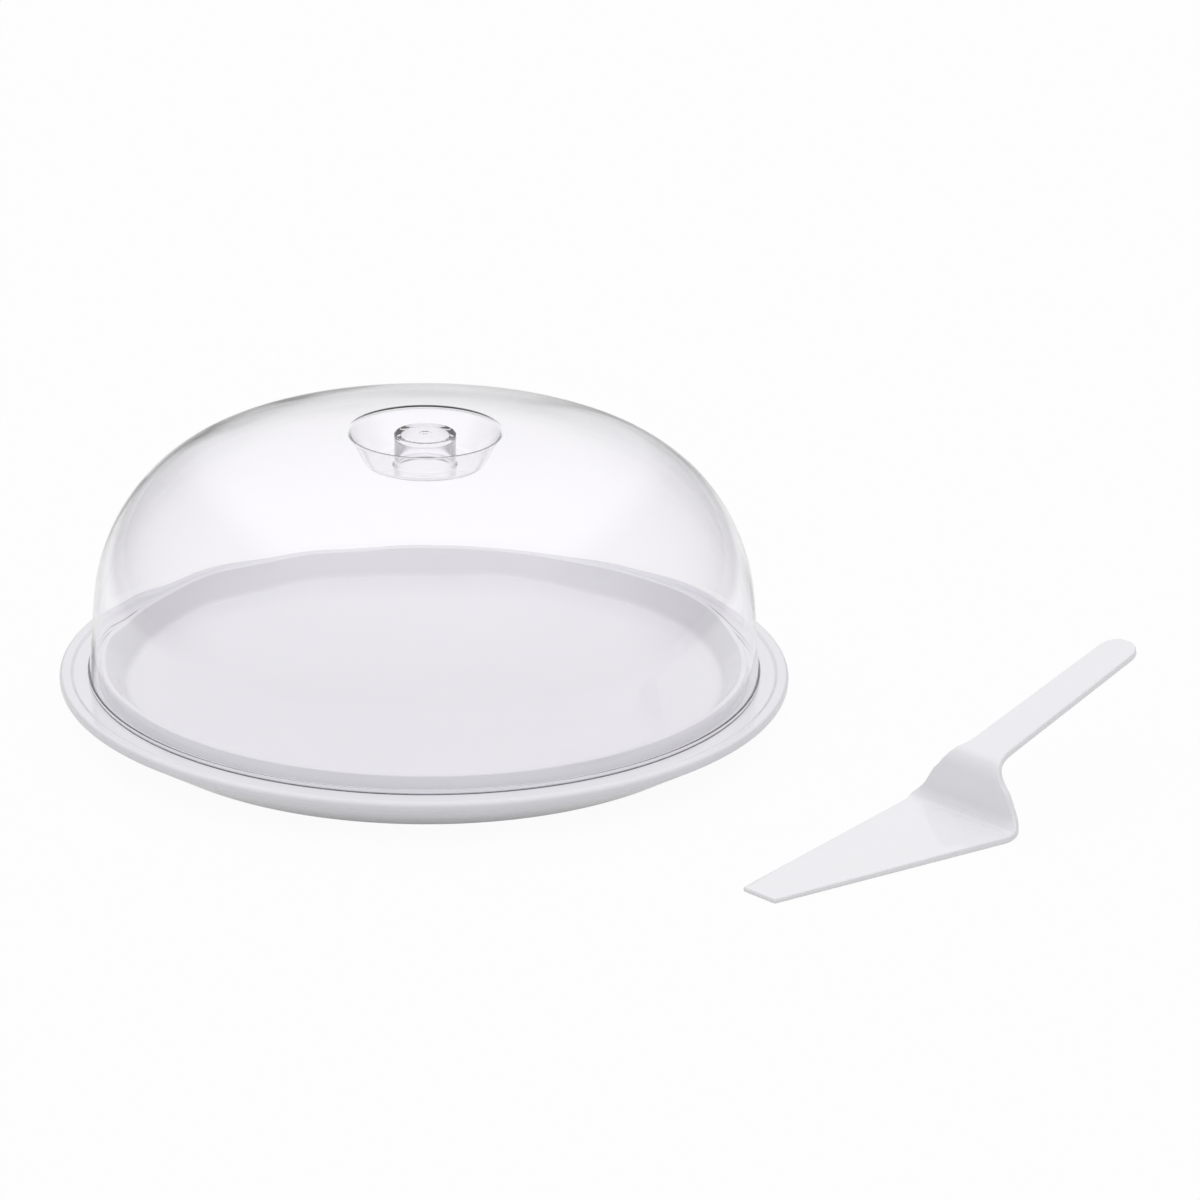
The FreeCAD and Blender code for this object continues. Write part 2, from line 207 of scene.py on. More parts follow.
# %% Plate sizes
plate_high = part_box("cake_plate")[1]
dome_low, dome_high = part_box("dome_cover")
plate_radius = plate_high.x / MM
ledge_height = dome_low.z / MM
dome_foot_radius = dome_high.x / MM
crest_height = plate_high.z / MM
rim_border_width = 5.0
rim_border_rise = 1.0
rim_thickness = 4.4
rim_rounding = 1.8
rim_lower_rounding = 3.0
border_slope = 1.6
border_rounding = 1.0
curb_foot_radius = 151.4
curb_flare = 1.2
curb_crest_width = 2.4
curb_rounding = 0.9
dish_wall_run = 8.6
dish_depth = 4.2
dish_rounding = 5.0
plate_wall = 2.8
foot_radius = 142.0
foot_width = 4.0
foot_rounding = 0.8
hidden_rounding = 0.3
print("the plate is", round(2 * plate_radius, 1), "mm across, its ledge", round(ledge_height, 1), "mm high")

# %% [markdown]
# ### The plate's section
# Heights and radii follow from the sizes by adding up. The line then runs from the middle of the dish out
# over the rim, down the skirt, and back along the underside to the axis.

# %% Plate
border_radius = plate_radius - rim_border_width
rim_top = ledge_height + rim_border_rise
rim_bottom = rim_top - rim_thickness
crest_outside = curb_foot_radius - curb_flare
crest_inside = crest_outside - curb_crest_width
floor_radius = crest_inside - dish_wall_run
dish_floor = ledge_height - dish_depth
plate_underside = dish_floor - plate_wall
ledge_underside = ledge_height - plate_wall

# The skirt leans, so its wall is thicker when measured level than when measured square to it.
skirt_lean = (plate_radius - foot_radius) / rim_bottom
skirt_across = plate_wall * np.hypot(1.0, skirt_lean)
skirt_top_inside = foot_radius - skirt_across + skirt_lean * ledge_underside
foot_inside = foot_radius - foot_width
foot_inside_top = (skirt_across - foot_width) / skirt_lean
plate_line = rounded_line([
    (0.0, dish_floor),
    (floor_radius, dish_floor, dish_rounding),
    (crest_inside, crest_height, curb_rounding),
    (crest_outside, crest_height, curb_rounding),
    (curb_foot_radius, ledge_height, border_rounding),
    (border_radius - border_slope, ledge_height, border_rounding),
    (border_radius, rim_top, border_rounding),
    (plate_radius, rim_top, rim_rounding),
    (plate_radius, rim_bottom, rim_lower_rounding),
    (foot_radius, 0.0, foot_rounding),
    (foot_inside, 0.0, hidden_rounding),
    (foot_inside, foot_inside_top, hidden_rounding),
    (skirt_top_inside, ledge_underside, hidden_rounding),
    (curb_foot_radius, ledge_underside, hidden_rounding),
    (floor_radius, plate_underside, hidden_rounding),
    (0.0, plate_underside),
])
plate = turned_piece("white_plate", plate_line)
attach(plate, "plate")
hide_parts("cake_plate")

# %% [markdown]
# ## The dome
# The dome is a shell, moulded clear. Its outside is drawn as a line, and the inside of its wall is the same
# line moved in by one wall, as the two halves of the mould are. That keeps outside and inside parallel, so
# the middle of a wall bends what is behind it no more than a window pane does, and only the tight places,
# the flange, the well's mouth and the knob, gather dark and bright lines. A Solidify modifier would thicken
# a single surface in the same way, but it can't keep a sharp corner inside a small rounding.

# %% A line one wall further in
def inset_corners(corners, wall, smallest_rounding):
    """The corners of the line one wall to the right of a line: a corner moves along the bisector of its two
    runs, and its rounding shrinks by the wall where the line turns right and grows by it where the line
    turns left."""
    places = np.array([corner[:2] for corner in corners], float)
    roundings = np.array([corner[2] for corner in corners[1:-1]])
    runs = np.diff(places, axis=0)
    ways = runs / np.linalg.norm(runs, axis=1, keepdims=True)
    right = np.stack([ways[:, 1], -ways[:, 0]], axis=1)
    bisector = (right[:-1] + right[1:]) / (1 + (right[:-1] * right[1:]).sum(axis=1, keepdims=True))
    turns_left = np.sign(ways[:-1, 0] * ways[1:, 1] - ways[:-1, 1] * ways[1:, 0])
    inner_places = places[1:-1] + wall * bisector
    inner_roundings = np.maximum(roundings + turns_left * wall, smallest_rounding)
    return np.column_stack([inner_places, inner_roundings]).tolist()


# %% [markdown]
# ### The dome's shape
# From the foot up, the outside is a small flange, a wall that leans in by the draft of its mould, and three
# arcs that run into each other: the bow, the shoulder and the crown. The crown sinks into a well, and in
# the well stands the knob, hollow from below, with the mark of the mould's gate on its top.

# %% Dome sizes
dome_wall = 1.2
knob_wall = 3.0
dome_height = 118.1
flange_height = 2.5
flange_step = 0.7
flange_rounding = 0.3
wall_draft = np.radians(4.2)
wall_length = 33.5
bow_radius = 85.4
shoulder_start = np.radians(40.0)
shoulder_end = np.radians(72.3)
crown_radius = 253.0
well_mouth_radius = 35.0
well_floor_radius = 26.0
well_depth = 15.6
well_mouth_rounding = 2.6
well_corner_rounding = 4.0
knob_radius = 14.3
knob_height = 14.5
knob_edge_rounding = 0.6
knob_foot_rounding = 1.0
hollow_taper = 1.5
hollow_rounding = 0.4
hollow_mouth_rounding = 2.2
gate_radius = 2.6
gate_depth = 0.35
gate_nub_radius = 0.9
gate_slope = 0.3
gate_rounding = 0.15
seat_gap = 0.1
print("the dome's foot is", round(2 * dome_foot_radius, 1), "mm across, its wall", dome_wall, "mm thick")

# %% [markdown]
# ### Arcs that run into each other
# Two arcs meet without a kink where their centres lie on one spoke. So each centre follows from the arc
# before it, and the shoulder's radius is what closes the height between the bow's end and the crown's edge.

# %% Dome arcs
wall_start_radius = dome_foot_radius - flange_step
wall_start_height = ledge_height + flange_height
wall_top = (wall_start_radius - wall_length * np.sin(wall_draft),
            wall_start_height + wall_length * np.cos(wall_draft))
bow_centre = (wall_top[0] - bow_radius * np.cos(wall_draft), wall_top[1] - bow_radius * np.sin(wall_draft))
crown_centre_height = ledge_height + dome_height - crown_radius
bow_end_height = bow_centre[1] + bow_radius * np.sin(shoulder_start)
crown_edge_height = crown_centre_height + crown_radius * np.sin(shoulder_end)
shoulder_radius = (crown_edge_height - bow_end_height) / (np.sin(shoulder_end) - np.sin(shoulder_start))
shoulder_centre = (bow_centre[0] + (bow_radius - shoulder_radius) * np.cos(shoulder_start),
                   bow_centre[1] + (bow_radius - shoulder_radius) * np.sin(shoulder_start))
crown_centre = (shoulder_centre[0] + (shoulder_radius - crown_radius) * np.cos(shoulder_end),
                crown_centre_height)

# At its mouth the well takes over from the crown, by a short tangent that leads into the rounding.
crown_start = np.arccos((well_mouth_radius + well_mouth_rounding - crown_centre[0]) / crown_radius)
mouth_height = (crown_centre[1] + crown_radius * np.sin(crown_start)
                + well_mouth_rounding / np.tan(crown_start))
print("the shoulder has a radius of", round(shoulder_radius, 1), "mm")

# %% [markdown]
# ### Two skins
# The outside runs from the gate mark over knob, well and crown down to the foot. The inside runs from the
# knob's hollow to the same foot, where the two meet.

# %% Dome skins
well_floor = ledge_height + dome_height - well_depth
knob_top = well_floor + knob_height
gate_floor = knob_top - gate_depth
foot_height = ledge_height + seat_gap
skin_foot_radius = wall_start_radius + (wall_start_height - foot_height) * np.tan(wall_draft)
foot_inside_radius = skin_foot_radius - dome_wall / np.cos(wall_draft)
hollow_radius = knob_radius - knob_wall
hollow_ceiling = knob_top - knob_wall
well_and_shell = [
    (well_floor_radius, well_floor, well_corner_rounding),
    (well_mouth_radius, mouth_height, well_mouth_rounding),
    arc_corner(crown_centre, crown_radius, crown_start, shoulder_end),
    arc_corner(shoulder_centre, shoulder_radius, shoulder_end, shoulder_start),
    arc_corner(bow_centre, bow_radius, shoulder_start, wall_draft),
]
outside = rounded_line([
    (0.0, knob_top),
    (gate_nub_radius, knob_top, gate_rounding),
    (gate_nub_radius + gate_slope, gate_floor, gate_rounding),
    (gate_radius, gate_floor, gate_rounding),
    (gate_radius + gate_slope, knob_top, gate_rounding),
    (knob_radius, knob_top, knob_edge_rounding),
    (knob_radius, well_floor, knob_foot_rounding),
    *well_and_shell,
    (wall_start_radius, wall_start_height, flange_rounding),
    (dome_foot_radius, wall_start_height, flange_rounding),
    (dome_foot_radius, foot_height, flange_rounding),
    (foot_inside_radius, foot_height),
])
skin = [(knob_radius, well_floor), *well_and_shell, (skin_foot_radius, foot_height)]
inside = rounded_line([
    (0.0, hollow_ceiling),
    (hollow_radius, hollow_ceiling, hollow_rounding),
    (hollow_radius + hollow_taper, well_floor - dome_wall, hollow_mouth_rounding),
    *inset_corners(skin, dome_wall, hollow_rounding),
    (foot_inside_radius, foot_height),
])
print("the dome's outside has", len(outside), "points and its inside", len(inside))

# %% [markdown]
# ### One closed shell
# A clear body bends light on its way in and again on its way out, so its surface has to be closed: outside
# and inside become one line from pole to pole, and so one mesh. An attribute marks the inner skin, so that
# the material can give each skin waves of its own.

# %% Dome
dome = turned_piece("clear_dome", np.concatenate([outside[:-1], inside[::-1]]))

# The mesh holds the rings of the outside, then those of the inside, then the pole of each.
outer_points = (len(outside) - 2) * ROUND_STEPS
inner_points = (len(inside) - 1) * ROUND_STEPS
skin_mark = dome.data.attributes.new("inner_skin", "FLOAT", "POINT")
skin_mark.data.foreach_set("value", np.repeat([0.0, 1.0, 0.0, 1.0], [outer_points, inner_points, 1, 1]))
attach(dome, "dome")
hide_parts("dome_cover")

# Clear walls lose hardly any light, so light on its way to a matt surface passes through unchanged.
dome.visible_shadow = False
dome.visible_diffuse = False

# %% [markdown]
# ## The server
# The server is a strip of plastic folded twice: a flat blade, an upright riser and a rising handle. It is
# made as a section carried along a path. The path is the underside seen from the side. At each place along
# it, a second line, the outline of the strip laid out flat, says how wide the section is.

# %% Server sizes
server_tip = (147.9, -226.6)
server_heading = np.radians(43.0)
server_thickness = 3.4
tip_thickness = 2.4
tip_half_width = 9.9
blade_length = 133.5
blade_half_width = 32.7
blade_corner_rounding = 7.1
riser_height = 25.7
riser_angle = np.radians(86.8)
fold_rounding = 11.2
waist_along = 17.3
waist_half_width = 22.9
waist_rounding = 3.8
crook_rounding = 6.8
neck_along = 29.7
neck_half_width = 11.2
neck_rounding = 18.8
handle_length = 105.6
handle_angle = np.radians(16.7)
handle_end_half_width = 9.7
handle_end_rounding = 8.8
strip_edge_rounding = 0.8
print("the server's blade is", blade_length, "mm long and", 2 * blade_half_width, "mm wide")

# %% [markdown]
# ### Path and outline of the server
# The corners of the path lie on the underside. The corner at the crook is known on top, so it moves along
# the bisector of riser and handle until it lies one thickness below both. The outline starts at the tip's
# half width, and its corners are measured along the strip.

# %% Server lines
fold_x = blade_length + server_thickness * np.tan(riser_angle / 2)
crook_lean = (riser_angle + handle_angle) / 2
crook_reach = server_thickness / np.cos((riser_angle - handle_angle) / 2)
crook_x = blade_length + riser_height / np.tan(riser_angle) + crook_reach * np.sin(crook_lean)
crook_z = server_thickness + riser_height - crook_reach * np.cos(crook_lean)
underside = rounded_line([
    (0.0, 0.0),
    (fold_x, 0.0, fold_rounding),
    (crook_x, crook_z, crook_rounding),
    (crook_x + handle_length * np.cos(handle_angle), crook_z + handle_length * np.sin(handle_angle)),
])
travelled = np.concatenate([[0.0], np.cumsum(np.linalg.norm(np.diff(underside[:, :2], axis=0), axis=1))])
strip_length = travelled[-1]
outline = rounded_line([
    (0.0, tip_half_width),
    (blade_length, blade_half_width, blade_corner_rounding),
    (blade_length + waist_along, waist_half_width, waist_rounding),
    (blade_length + neck_along, neck_half_width, neck_rounding),
    (strip_length, handle_end_half_width, handle_end_rounding),
    (strip_length, handle_end_half_width - handle_end_rounding),
])
print("the server's strip is", round(strip_length, 1), "mm long")

# %% [markdown]
# ### The server's section
# The section is a rectangle with small round edges, and at both ends it shrinks along a quarter circle, so
# that the ends are rounded as well. Rings of section points stand wherever path or outline has a point.

# %% Server section
section_flat_steps = 9
section_turn_steps = 5


def strip_section(stations):
    """Points of the strip, one ring of section points for each station. A section point is
    lateral * (half width - edge) + radius * cos a sideways and
    thickness / 2 + level * (thickness / 2 - edge) + radius * sin a upwards from the underside. Lateral and
    level pick a corner or a place between two corners, and the radius is the edge rounding, less near the
    ends."""
    half_width = np.interp(stations, outline[:, 0], outline[:, 1])[:, None]
    thickness = np.interp(stations, [0.0, blade_length], [tip_thickness, server_thickness])[:, None]
    to_end = np.minimum(stations, strip_length - stations)[:, None]
    inside_end = np.clip(strip_edge_rounding - to_end, 0.0, strip_edge_rounding)
    radius = np.sqrt(strip_edge_rounding**2 - inside_end**2)
    flat = np.linspace(1.0, -1.0, section_flat_steps)[1:-1]
    turn = np.linspace(0.0, np.pi / 2, section_turn_steps)
    full = np.ones(section_turn_steps)
    on_flat = np.ones(flat.size)
    lateral = np.concatenate([full, flat, -full, -full, -flat, full])
    level = np.concatenate([full, on_flat, full, -full, -on_flat, -full])
    angle = np.concatenate([turn, on_flat * np.pi / 2, turn + np.pi / 2, turn + np.pi,
                            on_flat * 1.5 * np.pi, turn + 1.5 * np.pi])
    sideways = lateral * (half_width - strip_edge_rounding) + radius * np.cos(angle)
    upwards = thickness / 2 + level * (thickness / 2 - strip_edge_rounding) + radius * np.sin(angle)
    x, z, heading = (np.interp(stations, travelled, column)[:, None] for column in underside.T)
    return np.stack([x - upwards * np.sin(heading), sideways, z + upwards * np.cos(heading)], axis=-1)


def strip_piece(name, rings):
    """Walls between neighbouring rings, with one many-sided face to close each end."""
    count, around = rings.shape[:2]
    here = np.arange(count * around).reshape(count, around)
    beside = np.roll(here, -1, axis=1)
    walls = np.stack([here[:-1], beside[:-1], beside[1:], here[1:]], axis=-1).reshape(-1, 4)
    return make_mesh(name, rings.reshape(-1, 3), [walls, here[:1, ::-1], here[-1:]])


# %% [markdown]
# ### Laying the server down
# The strip is made along the X axis and then turned and moved as points, so that the object itself stays at
# the origin, unturned, as every piece here does.

# %% Server
cap_share = 0.85
cap_steps = 6

# Near an end the rings stand so that the edge rounding shrinks in even steps, by the cap's share in all.
end_turn = np.arccos(np.linspace(1.0 - cap_share, 1.0, cap_steps))
from_end = strip_edge_rounding * (1.0 - np.sin(end_turn))
stations = np.unique(np.concatenate([travelled, outline[:, 0], from_end, strip_length - from_end]))
stations = stations[(stations >= from_end.min()) & (stations <= strip_length - from_end.min())]
to_heading = np.array([[np.cos(server_heading), np.sin(server_heading), 0.0],
                       [-np.sin(server_heading), np.cos(server_heading), 0.0],
                       [0.0, 0.0, 1.0]])
server = strip_piece("white_server", strip_section(stations) @ to_heading + np.array([*server_tip, 0.0]))
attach(server, "server")
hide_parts("cake_server")
print("the server has", len(server.data.polygons), "faces")

# %% [markdown]
# ## Tools for materials
# Colours are written as the hex values that a paint chart or a picture editor gives, and one function turns
# them into the linear values that Blender works with. A second function adds a node: plain values go onto
# its sockets, and an output of another node is linked.

# %% Colour and node helpers
def linear(hex_colour):
    """The sRGB curve undone: below 0.04045 a straight line, above it a power of 2.4."""
    srgb = np.array([int(hex_colour[start:start + 2], 16) for start in (1, 3, 5)]) / 255
    channels = np.where(srgb <= 0.04045, srgb / 12.92, ((srgb + 0.055) / 1.055) ** 2.4)
    return (*channels.tolist(), 1.0)


def add_node(tree, kind, inputs=None, **settings):
    """Adds a node with its settings, and fills its inputs with values or with outputs of other nodes."""
    node = tree.nodes.new(kind)
    for name, value in settings.items():
        setattr(node, name, value)
    for name, value in (inputs or {}).items():
        if isinstance(value, bpy.types.NodeSocket):
            tree.links.new(value, node.inputs[name])
        else:
            node.inputs[name].default_value = value
    return node


def new_material(name):
    """A material with an empty node tree and its output node."""
    material = bpy.data.materials.new(name)
    material.use_nodes = True
    material.node_tree.nodes.clear()
    return material, material.node_tree, add_node(material.node_tree, "ShaderNodeOutputMaterial")


def per_metre(size_mm):
    """How many times a pattern of this size repeats in a metre: a texture's scale on Object coordinates."""
    return 1.0 / (size_mm * MM)


# %% [markdown]
# ## White glossy plastic
# Plate and server are moulded from an opaque white plastic in a polished mould. The eye gets an even white
# with a breath of violet, a clear reflection at low angles, and, close up, the faint unevenness that a
# moulding has: slow clouds in the colour, a fine dimpling, and a film of rubbed places where the gloss is a
# little lower. Sizes of the patterns are in millimetres.

# %% White plastic
plastic_ior = 1.5
plate_whites = ("#EDECF1", "#E9E8ED")
server_whites = ("#F5F4F8", "#F1F0F4")
cloud_size = 70.0
cloud_detail = 2.0
rubbed_size = 9.0
rubbed_detail = 6.0
rubbed_noise_low = 0.3
rubbed_noise_high = 0.7
polished_roughness = 0.03
rubbed_roughness = 0.08
dimple_size = 3.0
dimple_detail = 1.0
dimple_depth = 0.01
dimple_strength = 0.25


def white_plastic(name, light_colour, dark_colour):
    """Moulded glossy white: two close whites in slow clouds, gloss broken by rubbed places, and a shallow
    relief."""
    material, tree, output = new_material(name)
    place = add_node(tree, "ShaderNodeTexCoord").outputs["Object"]
    clouds = add_node(tree, "ShaderNodeTexNoise", {
        "Vector": place, "Scale": per_metre(cloud_size), "Detail": cloud_detail})
    colour = add_node(tree, "ShaderNodeMix", {
        "Factor": clouds.outputs["Fac"], "A": linear(dark_colour), "B": linear(light_colour)},
        data_type="RGBA")
    rubbed = add_node(tree, "ShaderNodeTexNoise", {
        "Vector": place, "Scale": per_metre(rubbed_size), "Detail": rubbed_detail})
    gloss = add_node(tree, "ShaderNodeMapRange", {
        "Value": rubbed.outputs["Fac"], "From Min": rubbed_noise_low, "From Max": rubbed_noise_high,
        "To Min": polished_roughness, "To Max": rubbed_roughness})
    dimples = add_node(tree, "ShaderNodeTexNoise", {
        "Vector": place, "Scale": per_metre(dimple_size), "Detail": dimple_detail})
    relief = add_node(tree, "ShaderNodeBump", {
        "Height": dimples.outputs["Fac"], "Strength": dimple_strength, "Distance": dimple_depth * MM})
    surface = add_node(tree, "ShaderNodeBsdfPrincipled", {
        "Base Color": colour.outputs["Result"], "Roughness": gloss.outputs["Result"],
        "Normal": relief.outputs["Normal"], "IOR": plastic_ior})
    tree.links.new(surface.outputs["BSDF"], output.inputs["Surface"])
    return material


plate.data.materials.append(white_plastic("moulded_white_plastic_plate", *plate_whites))
server.data.materials.append(white_plastic("moulded_white_plastic_server", *server_whites))
print("white plastic is on", plate.name, "and", server.name)

# %% [markdown]
# ## Clear plastic
# The dome is a styrene plastic as clear as glass, polished by its mould. What gives it away as plastic is a
# slow waviness of the wall, a breath of handling marks that dull the gloss in places, and the strong light
# and dark lines at every edge. A wave that ran alike on both faces of the wall would bend light once and
# bend it back, as a curved pane does. The two halves of a mould have waves of their own, so the noise has a
# fourth coordinate here, and the mark that tells the inner skin from the outer one moves it along that. The
# lowest edge, on which the dome stands, looks dark on the real one, because light that enters there is
# caught between the faces. A renderer gives such light up after a few turns or lets it out too soon, so a
# grey painted shade in the colour stands in for the lost light.

# %% Clear plastic
handled_size = 25.0
handled_detail = 5.0
handled_noise_low = 0.45
handled_noise_high = 0.8
handled_roughness = 0.03
wave_size = 45.0
wave_depth = 0.4
painted_shade_height = 0.65
clear_tint = "#FDFCFE"
foot_edge_painted_shade = "#807E86"


def clear_plastic(name):
    """Clear moulded styrene: full transmission, a nearly smooth gloss, a slow waviness and grey painted
    shade on the foot edge."""
    material, tree, output = new_material(name)
    place = add_node(tree, "ShaderNodeTexCoord").outputs["Object"]
    handled = add_node(tree, "ShaderNodeTexNoise", {
        "Vector": place, "Scale": per_metre(handled_size), "Detail": handled_detail})
    gloss = add_node(tree, "ShaderNodeMapRange", {
        "Value": handled.outputs["Fac"], "From Min": handled_noise_low, "From Max": handled_noise_high,
        "To Min": 0.0, "To Max": handled_roughness})
    skin_side = add_node(tree, "ShaderNodeAttribute", attribute_name="inner_skin").outputs["Fac"]
    waves = add_node(tree, "ShaderNodeTexNoise", {
        "Vector": place, "W": skin_side, "Scale": per_metre(wave_size), "Detail": 0.0},
        noise_dimensions="4D")
    relief = add_node(tree, "ShaderNodeBump", {
        "Height": waves.outputs["Fac"], "Strength": 1.0, "Distance": wave_depth * MM})
    # Painted shade: the lowest band of the dome's foot is mixed towards grey, in place of light lost
    # between the faces.
    height = add_node(tree, "ShaderNodeSeparateXYZ", {"Vector": place}).outputs["Z"]
    painted_shade_mask = add_node(tree, "ShaderNodeMapRange", {
        "Value": height, "From Min": (foot_height + painted_shade_height) * MM,
        "From Max": (foot_height + painted_shade_height / 2) * MM})
    colour = add_node(tree, "ShaderNodeMix", {
        "Factor": painted_shade_mask.outputs["Result"], "A": linear(clear_tint), "B": linear(foot_edge_painted_shade)},
        data_type="RGBA")
    surface = add_node(tree, "ShaderNodeBsdfPrincipled", {
        "Base Color": colour.outputs["Result"], "Roughness": gloss.outputs["Result"],
        "Normal": relief.outputs["Normal"], "IOR": plastic_ior, "Transmission Weight": 1.0})
    tree.links.new(surface.outputs["BSDF"], output.inputs["Surface"])
    return material


dome.data.materials.append(clear_plastic("clear_moulded_styrene"))
print("clear plastic is on", dome.name)

# %% [markdown]
# ## Studio light
# The light is a white studio without a single lamp in it: a bright ceiling, a pale backdrop behind, a weak
# fill in front, and sides that fall off into grey. The grey sides matter for clear plastic. Seen at a low
# angle its surface is a mirror, and an edge bends a view by nearly a right angle, so both draw the dome's
# outline in greys. In mirror images the front is brighter than as a light, as if a large white screen stood
# there in the dark, and the back is a little darker.

# %% Studio levels
back_level = 0.8
mirrored_back_level = 0.65
front_level = 0.15
mirrored_front_level = 0.9
ceiling_level = 1.35
side_level = 0.5

# Where the levels change, in the parts of a direction of length one.
ceiling_spread = 0.5
side_start = -0.05
side_end = 0.3
front_to_back = 0.3


def studio_level(tree, way, front, back):
    """How bright the studio is in a direction: from the horizon, which has one level behind the set and one
    in front, up to the ceiling. Behind the set the sides are dimmed by a smooth step in
    |x| - ceiling_spread * z."""
    parts = add_node(tree, "ShaderNodeSeparateXYZ", {"Vector": way})
    behind = add_node(tree, "ShaderNodeMapRange", {
        "Value": parts.outputs["Y"], "From Min": -front_to_back, "From Max": front_to_back},
        interpolation_type="SMOOTHSTEP")
    horizon = add_node(tree, "ShaderNodeMix", {"Factor": behind.outputs["Result"], "A": front, "B": back})
    height = add_node(tree, "ShaderNodeMix", {
        "Factor": parts.outputs["Z"], "A": horizon.outputs["Result"], "B": ceiling_level})
    sideways = add_node(tree, "ShaderNodeMath", {0: parts.outputs["X"]}, operation="ABSOLUTE")
    beside = add_node(tree, "ShaderNodeMath", {
        0: parts.outputs["Z"], 1: -ceiling_spread, 2: sideways.outputs["Value"]}, operation="MULTIPLY_ADD")
    shade = add_node(tree, "ShaderNodeMapRange", {
        "Value": beside.outputs["Value"], "From Min": side_start, "From Max": side_end,
        "To Min": 1.0, "To Max": side_level}, interpolation_type="SMOOTHSTEP")
    dimmed = add_node(tree, "ShaderNodeMix", {
        "Factor": behind.outputs["Result"], "A": 1.0, "B": shade.outputs["Result"]})
    level = add_node(tree, "ShaderNodeMath", {
        0: height.outputs["Result"], 1: dimmed.outputs["Result"]}, operation="MULTIPLY")
    return level.outputs["Value"]


# %% [markdown]
# ### The world around the set
# The world shader gives a brightness for every direction that a ray of light comes from. Light Path tells
# whether the ray belongs to a mirror image, and so which levels hold for front and back.

# %% Studio world
white = linear("#FFFFFF")
world = bpy.data.worlds.new("white_studio")
bpy.context.scene.world = world
world.use_nodes = True
tree = world.node_tree
tree.nodes.clear()
way = add_node(tree, "ShaderNodeTexCoord").outputs["Generated"]
mirrored = add_node(tree, "ShaderNodeLightPath").outputs["Is Glossy Ray"]
front = add_node(tree, "ShaderNodeMapRange", {
    "Value": mirrored, "To Min": front_level, "To Max": mirrored_front_level})
back = add_node(tree, "ShaderNodeMapRange", {
    "Value": mirrored, "To Min": back_level, "To Max": mirrored_back_level})
level = studio_level(tree, way, front.outputs["Result"], back.outputs["Result"])
sky = add_node(tree, "ShaderNodeBackground", {"Color": white, "Strength": level})
add_node(tree, "ShaderNodeOutputWorld", {"Surface": sky.outputs["Background"]})
print("the studio's ceiling has a level of", ceiling_level, "and its backdrop one of", back_level)

# %% [markdown]
# ## Floor
# The set stands on a plain pale floor, a single large face. It lies a hair below the plate's foot, so that
# the two don't share a plane. Sizes are in metres here.

# %% Floor sheet
floor_half_size = 30.0
floor_drop = 0.0002

sheet_ways = np.array([[-1.0, -1.0], [1.0, -1.0], [1.0, 1.0], [-1.0, 1.0]])
sheet_corners = np.column_stack([floor_half_size * sheet_ways, np.full(len(sheet_ways), -floor_drop)])
floor = make_mesh("floor_sheet", sheet_corners / MM, [np.arange(len(sheet_ways))[None, :]])
print("the floor is", 2 * floor_half_size, "m wide")

# %% [markdown]
# ### The floor's light
# Seen by the camera, most of the floor's brightness is its own, so it stays white, and the rest is the
# light that falls on it, so it keeps a shadow. In a mirror image less of it is its own, and the glossy
# skirt shows the shade under the plate. Mirrored, or bent by the dome, it is a white sheet of limited size:
# further out it fades to the level that the studio has at the horizon, so no line shows where the two meet.

# %% Floor material
sheet_colour = "#E6E6E6"
own_light_share = 0.95
mirrored_own_light_share = 0.5
sheet_radius = 0.4
sheet_fade_radius = 0.9

material, tree, output = new_material("white_floor_sheet")
place = add_node(tree, "ShaderNodeTexCoord").outputs["Object"]
distance = add_node(tree, "ShaderNodeVectorMath", {0: place}, operation="LENGTH")
outwards = add_node(tree, "ShaderNodeVectorMath", {0: place}, operation="NORMALIZE")
fade = add_node(tree, "ShaderNodeMapRange", {
    "Value": distance.outputs["Value"], "From Min": sheet_radius, "From Max": sheet_fade_radius},
    interpolation_type="SMOOTHSTEP")
horizon = studio_level(tree, outwards.outputs["Vector"], mirrored_front_level, mirrored_back_level)
bent = add_node(tree, "ShaderNodeMix", {"Factor": fade.outputs["Result"], "A": 1.0, "B": horizon})
path = add_node(tree, "ShaderNodeLightPath")
strength = add_node(tree, "ShaderNodeMix", {
    "Factor": path.outputs["Is Camera Ray"], "A": bent.outputs["Result"], "B": 1.0})
own_light = add_node(tree, "ShaderNodeEmission", {"Color": white, "Strength": strength.outputs["Result"]})
sheet = add_node(tree, "ShaderNodeBsdfDiffuse", {"Color": linear(sheet_colour)})

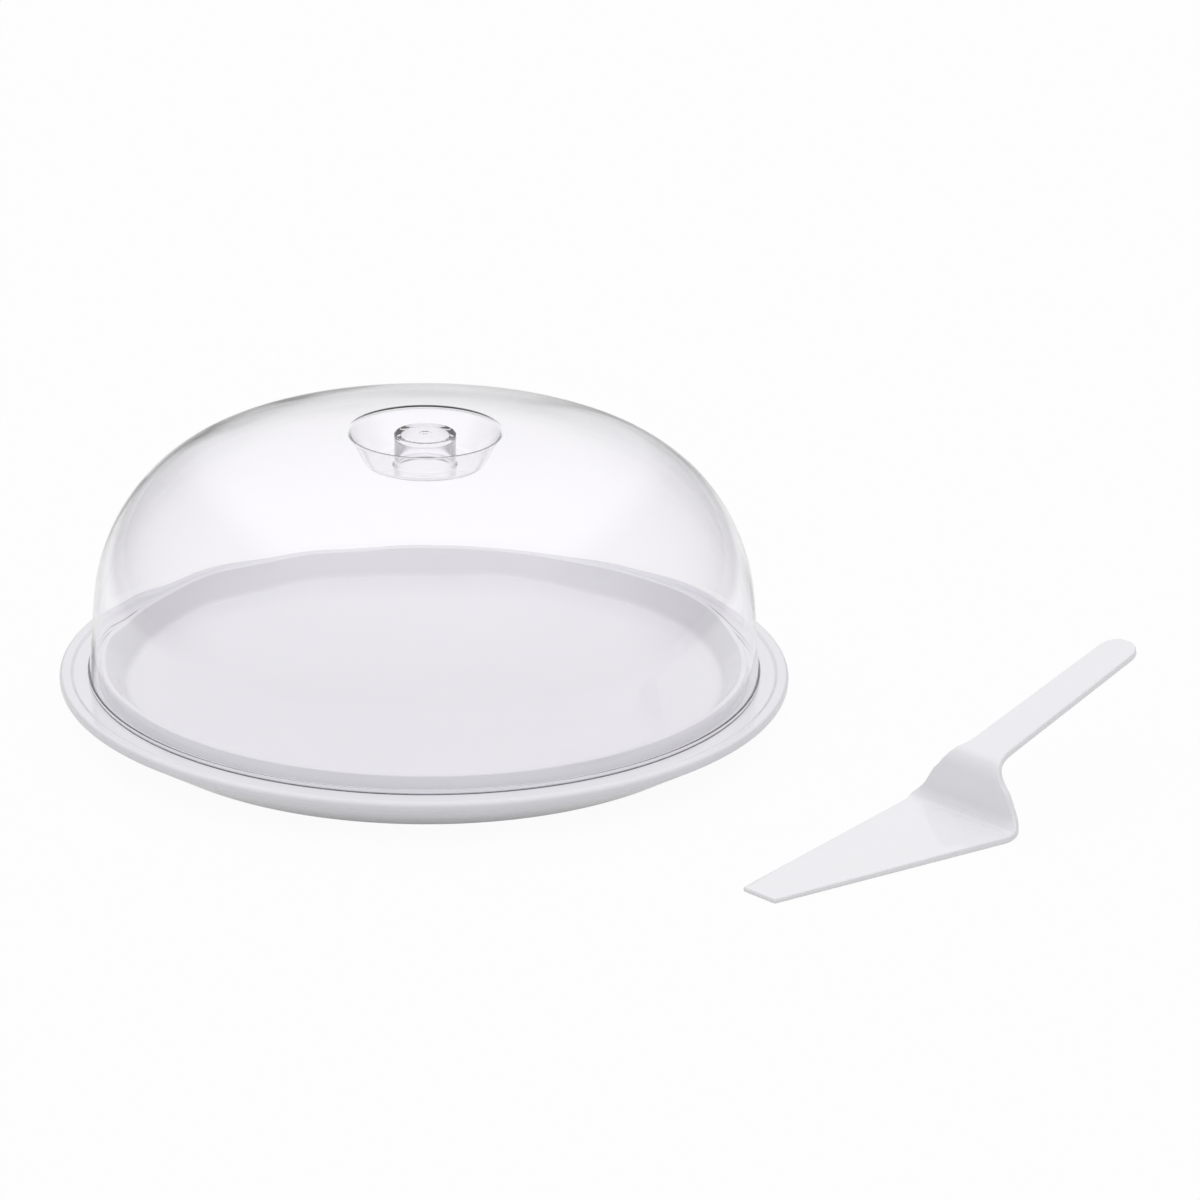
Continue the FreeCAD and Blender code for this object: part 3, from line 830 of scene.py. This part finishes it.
# Bent by the dome the floor is all its own light. The camera and mirror images see a share of it.
share = path.outputs["Is Transmission Ray"]
for ray, ray_share in (("Is Camera Ray", own_light_share), ("Is Glossy Ray", mirrored_own_light_share)):
    part = add_node(tree, "ShaderNodeMapRange", {"Value": path.outputs[ray], "To Max": ray_share})
    larger = add_node(tree, "ShaderNodeMath", {0: share, 1: part.outputs["Result"]}, operation="MAXIMUM")
    share = larger.outputs["Value"]
mixed = add_node(tree, "ShaderNodeMixShader", {
    0: share, 1: sheet.outputs["BSDF"], 2: own_light.outputs["Emission"]})
tree.links.new(mixed.outputs["Shader"], output.inputs["Surface"])
floor.data.materials.append(material)
floor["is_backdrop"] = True
print("to the camera, a share of", own_light_share, "of the floor is its own light")

# %% [markdown]
# ## Camera
# The photograph was taken from far away with a long lens, about twenty degrees above the table. The camera
# looks at the middle of the plate's ledge from that height, is then turned until that point falls on its
# pixel in the picture, and is tilted a little about its own line of sight.

# %% Camera
picture_pixels = 1200.0
ledge_centre_pixel = (424.66, 669.77)
focal_pixels = 8009.4
camera_elevation = np.radians(21.197)
camera_tilt = 0.0114
camera_distance = 3.74
sensor_width = 36.0
far_clip = 200.0

to_camera = Vector((0.0, -np.cos(camera_elevation), np.sin(camera_elevation)))
right = Vector((1.0, 0.0, 0.0))
up = right.cross(-to_camera)
off_right = (picture_pixels / 2 - ledge_centre_pixel[0]) / focal_pixels
off_down = (picture_pixels / 2 - ledge_centre_pixel[1]) / focal_pixels
aim = (off_right * right - off_down * up - to_camera).normalized()
right = aim.cross(Vector((0.0, 0.0, 1.0))).normalized()
up = right.cross(aim)
right, up = (np.cos(camera_tilt) * right + np.sin(camera_tilt) * up,
             np.cos(camera_tilt) * up - np.sin(camera_tilt) * right)

camera_data = bpy.data.cameras.new("camera")
camera_data.sensor_width = sensor_width
camera_data.lens = sensor_width * focal_pixels / picture_pixels
camera_data.clip_end = far_clip
camera = bpy.data.objects.new("camera", camera_data)
camera_place = Vector((0.0, 0.0, ledge_height * MM)) + camera_distance * to_camera
camera.matrix_world = Matrix.Translation(camera_place) @ Matrix((right, up, -aim)).transposed().to_4x4()
bpy.context.scene.collection.objects.link(camera)
bpy.context.scene.camera = camera
bpy.context.scene.view_settings.view_transform = "Standard"
print("lens of", round(camera_data.lens, 1), "mm at", camera_distance, "m")

# %% [markdown]
# ## Sizes
# The looks must not change the object's size, so the box of the solids and the box of the dressed set are
# both printed.

# %% Sizes of the solids and the dressed set
dressed_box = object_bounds()
boxes = {"cad": [list(corner) for corner in cad_box], "visual": [list(corner) for corner in dressed_box]}
for name, box in boxes.items():
    print(name, "from", in_mm(box[0]), "to", in_mm(box[1]), "mm")
